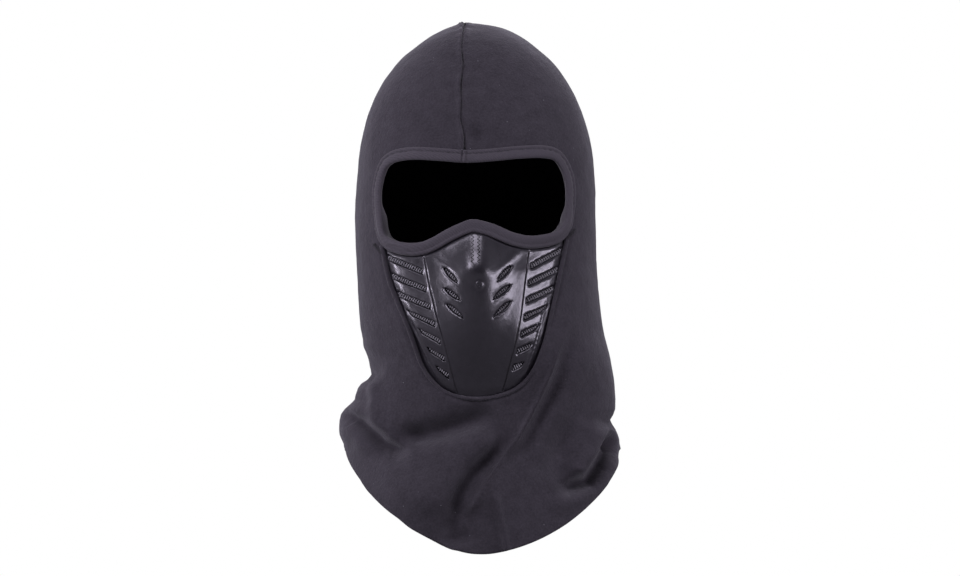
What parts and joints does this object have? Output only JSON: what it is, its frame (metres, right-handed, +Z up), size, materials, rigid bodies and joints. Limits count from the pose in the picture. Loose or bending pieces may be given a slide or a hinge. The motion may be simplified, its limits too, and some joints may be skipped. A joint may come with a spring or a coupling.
{
  "type": "balaclava",
  "caption": "Soft fleece hood that covers head and neck, with one wide eye opening, a moulded vented face mask and a neck skirt that hangs lower in front.",
  "frame": {"origin": "top of the wearer's head, where it meets the inside of the crown, on the middle line of the hood", "axes": "+Z up along the wearer's height, -Y towards the front of the face, +X to the right in a front view"},
  "size_m": [0.2112, 0.2232, 0.3979],
  "materials": {
    "fleece": "charcoal brushed fleece with a faint violet cast",
    "binding": "charcoal stretch binding strip, smoother than the fleece",
    "thread": "dark polyester sewing thread",
    "mask": "satin black moulded soft rubber",
    "mesh": "dark knitted polyester mesh"
  },
  "bodies": {
    "root": {"fleece_hood": "fleece", "eye_binding": "binding", "eye_binding_thread": "thread", "crown_seam_thread": "thread", "mask_shell": "mask", "mesh_lining": "mesh", "mask_seam_thread": "thread", "nose_dart_thread": "thread", "bartack_left": "thread", "bartack_right": "thread"}
  },
  "joints": []
}
